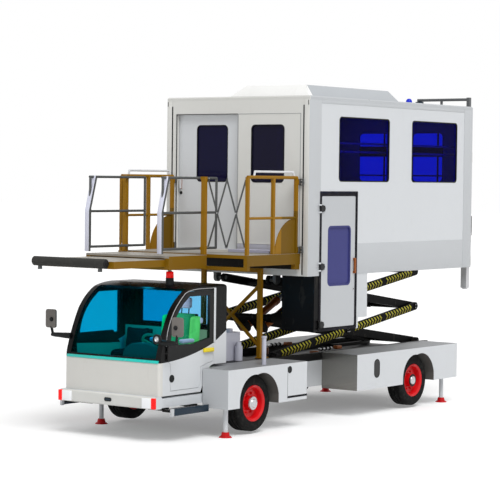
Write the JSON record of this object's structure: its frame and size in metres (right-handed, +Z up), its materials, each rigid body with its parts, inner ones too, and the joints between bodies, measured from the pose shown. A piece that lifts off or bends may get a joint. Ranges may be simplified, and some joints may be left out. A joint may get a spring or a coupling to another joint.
{
  "type": "ambulift",
  "caption": "Airport lift vehicle with a boxed cabin on a scissor lift, a low forward cab, a docking deck with an extending bridge, steered wheels and stabiliser jacks.",
  "frame": {"origin": "on the ground, in the middle of the overall length and width", "axes": "+X to the docking end where the driver's cab is, +Y to the vehicle's left, +Z up"},
  "size_m": [7.827, 2.57, 4.7],
  "materials": {
    "frame_black": "semi gloss paint",
    "white": "gloss paint",
    "black_gloss": "gloss",
    "lamp_red": "clear lens",
    "glass_teal": "tinted",
    "glass_blue": "tinted",
    "black_plastic": "matt",
    "seat": "woven cloth",
    "yellow": "ochre gloss paint",
    "tyre": "matt rubber",
    "rim_red": "gloss paint",
    "cylinder": "paint",
    "steel": "ground and plated",
    "grey": "paint",
    "rubber": "matt"
  },
  "bodies": {
    "chassis": {"chassis_frame": "frame_black", "side_boxes": "white", "bumper": "white", "front_lamps": "lamp_red", "cab_beacon": "lamp_red", "cab_shell": "white", "cab_top": "black_gloss", "cab_glass": "glass_teal", "cab_fittings": "black_plastic", "cab_seats": "seat", "rest_tower": "yellow", "power_pack": "white"},
    "knuckle_left": {"knuckle_left": "frame_black"},
    "knuckle_right": {"knuckle_right": "frame_black"},
    "wheel_front_left": {"tyre_front_left": "tyre", "rim_front_left": "rim_red"},
    "wheel_front_right": {"tyre_front_right": "tyre", "rim_front_right": "rim_red"},
    "wheel_rear_left": {"tyre_rear_left": "tyre", "rim_rear_left": "rim_red"},
    "wheel_rear_right": {"tyre_rear_right": "tyre", "rim_rear_right": "rim_red"},
    "cab_door_left": {"cab_door_left": "white", "cab_pane_left": "glass_blue"},
    "cab_door_right": {"cab_door_right": "white", "cab_pane_right": "glass_blue"},
    "jack_front_left": {"jack_front_left": "white"},
    "jack_front_right": {"jack_front_right": "white"},
    "jack_rear_left": {"jack_rear_left": "white"},
    "jack_rear_right": {"jack_rear_right": "white"},
    "scissor_lower_a": {"scissor_lower_a": "frame_black"},
    "scissor_lower_b": {"scissor_lower_b": "frame_black"},
    "scissor_upper_a": {"scissor_upper_a": "frame_black"},
    "scissor_upper_b": {"scissor_upper_b": "frame_black"},
    "lift_barrels": {"lift_barrels": "cylinder"},
    "lift_rods": {"lift_rods": "steel"},
    "cabin": {"cabin_floor": "grey", "cabin_sides": "white", "cabin_ends": "white", "cabin_glass": "glass_blue", "cabin_roof": "white", "roof_lamps": "grey", "door_well": "black_plastic", "deck_frame": "yellow", "deck_rails": "yellow", "lattice_left": "grey", "lattice_right": "grey"},
    "well_door": {"well_door": "white", "well_door_pane": "glass_blue"},
    "front_leaf": {"front_leaf": "white", "front_leaf_pane": "glass_blue"},
    "rear_door": {"rear_door": "white"},
    "tail_mast": {"tail_mast": "grey"},
    "tail_carriage": {"tail_carriage": "grey"},
    "tail_platform": {"tail_platform": "grey"},
    "carriage": {"carriage": "yellow"},
    "bridge": {"bridge": "yellow", "bridge_roller": "rubber"},
    "side_rail_left": {"side_rail_left": "grey"},
    "side_rail_right": {"side_rail_right": "grey"}
  },
  "joints": [
    {"name": "steer_left", "type": "hinge", "parent": "chassis", "child": "knuckle_left", "pos_m": [1.8065, 0.985, 0.412], "axis": [0, 0, 1], "range_deg": [-30, 30]},
    {"name": "spin_front_left", "type": "hinge", "parent": "knuckle_left", "child": "wheel_front_left", "pos_m": [1.8065, 1.03, 0.412], "axis": [0, 1, 0], "continuous": true},
    {"name": "spin_rear_left", "type": "hinge", "parent": "chassis", "child": "wheel_rear_left", "pos_m": [-2.2135, 1.03, 0.412], "axis": [0, 1, 0], "continuous": true},
    {"name": "cab_door_left", "type": "hinge", "parent": "chassis", "child": "cab_door_left", "pos_m": [3.2315, 0.816, 1.2], "axis": [0, 0, -1], "range_deg": [0, 65]},
    {"name": "jack_front_left", "type": "slide", "parent": "chassis", "child": "jack_front_left", "axis": [0, 0, 1], "range_m": [0, 0.29]},
    {"name": "jack_rear_left", "type": "slide", "parent": "chassis", "child": "jack_rear_left", "axis": [0, 0, 1], "range_m": [0, 0.29]},
    {"name": "steer_right", "type": "hinge", "parent": "chassis", "child": "knuckle_right", "pos_m": [1.8065, -0.985, 0.412], "axis": [0, 0, 1], "range_deg": [-30, 30]},
    {"name": "spin_front_right", "type": "hinge", "parent": "knuckle_right", "child": "wheel_front_right", "pos_m": [1.8065, -1.03, 0.412], "axis": [0, 1, 0], "continuous": true},
    {"name": "spin_rear_right", "type": "hinge", "parent": "chassis", "child": "wheel_rear_right", "pos_m": [-2.2135, -1.03, 0.412], "axis": [0, 1, 0], "continuous": true},
    {"name": "cab_door_right", "type": "hinge", "parent": "chassis", "child": "cab_door_right", "pos_m": [3.2315, -0.816, 1.2], "axis": [0, 0, 1], "range_deg": [0, 65]},
    {"name": "jack_front_right", "type": "slide", "parent": "chassis", "child": "jack_front_right", "axis": [0, 0, 1], "range_m": [0, 0.29]},
    {"name": "jack_rear_right", "type": "slide", "parent": "chassis", "child": "jack_rear_right", "axis": [0, 0, 1], "range_m": [0, 0.29]},
    {"name": "lift", "type": "hinge", "parent": "chassis", "child": "scissor_lower_a", "pos_m": [0.4515, 0, 0.9], "axis": [0, 1, 0], "range_deg": [0, 28]},
    {"name": "lower_cross", "type": "hinge", "parent": "scissor_lower_a", "child": "scissor_lower_b", "pos_m": [-1.4485, 0, 1.17125], "axis": [0, 1, 0], "range_deg": [-58, 2]},
    {"name": "rear_knee", "type": "hinge", "parent": "scissor_lower_a", "child": "scissor_upper_b", "pos_m": [-3.3485, 0, 1.4425], "axis": [0, 1, 0], "range_deg": [-58, 2]},
    {"name": "upper_cross", "type": "hinge", "parent": "scissor_upper_b", "child": "scissor_upper_a", "pos_m": [-1.4485, 0, 1.71375], "axis": [0, 1, 0], "range_deg": [-2, 58]},
    {"name": "cabin_level", "type": "hinge", "parent": "scissor_upper_b", "child": "cabin", "pos_m": [0.4515, 0, 1.985], "axis": [0, 1, 0], "range_deg": [-2, 30]},
    {"name": "barrel_pivot", "type": "hinge", "parent": "scissor_lower_b", "child": "lift_barrels", "pos_m": [0.27471, 0, 1.26574], "axis": [0, 1, 0], "range_deg": [-2, 57.8]},
    {"name": "rod_slide", "type": "slide", "parent": "lift_barrels", "child": "lift_rods", "axis": [-0.9059, 0, 0.4234], "range_m": [-0.01, 0.2473]},
    {"name": "well_door", "type": "hinge", "parent": "cabin", "child": "well_door", "pos_m": [0.4575, 1.268, 2.2], "axis": [0, 0, -1], "range_deg": [0, 100]},
    {"name": "front_leaf", "type": "slide", "parent": "cabin", "child": "front_leaf", "axis": [0, 1, 0], "range_m": [0, 1.03]},
    {"name": "rear_door", "type": "slide", "parent": "cabin", "child": "rear_door", "axis": [0, -1, 0], "range_m": [0, 1.03]},
    {"name": "tail_mast", "type": "slide", "parent": "cabin", "child": "tail_mast", "axis": [0, 0, -1], "range_m": [0, 1.7]},
    {"name": "tail_carriage", "type": "slide", "parent": "tail_mast", "child": "tail_carriage", "axis": [0, 0, -1], "range_m": [0, 0.8]},
    {"name": "tail_platform", "type": "hinge", "parent": "tail_carriage", "child": "tail_platform", "pos_m": [-3.8885, 0, 2.62], "axis": [0, -1, 0], "range_deg": [0, 90]},
    {"name": "carriage_shift", "type": "slide", "parent": "cabin", "child": "carriage", "axis": [0, 1, 0], "range_m": [0, 0.56], "deforming": ["lattice_left", "lattice_right"]},
    {"name": "bridge_slide", "type": "slide", "parent": "carriage", "child": "bridge", "axis": [-1, 0, 0], "range_m": [0, 0.85]},
    {"name": "rail_slide_left", "type": "slide", "parent": "carriage", "child": "side_rail_left", "axis": [-1, 0, 0], "range_m": [0, 0.6]},
    {"name": "rail_slide_right", "type": "slide", "parent": "carriage", "child": "side_rail_right", "axis": [-1, 0, 0], "range_m": [0, 0.6]}
  ],
  "couplings": [
    {"joint": "steer_right", "follows": "steer_left", "ratio": 1},
    {"joint": "lower_cross", "follows": "lift", "ratio": -2},
    {"joint": "rear_knee", "follows": "lift", "ratio": -2},
    {"joint": "upper_cross", "follows": "lift", "ratio": 2},
    {"joint": "cabin_level", "follows": "lift", "ratio": 1},
    {"joint": "barrel_pivot", "follows": "lift", "ratio": 1.9929},
    {"joint": "rod_slide", "follows": "lift", "m_per_rad": 0.48564}
  ]
}
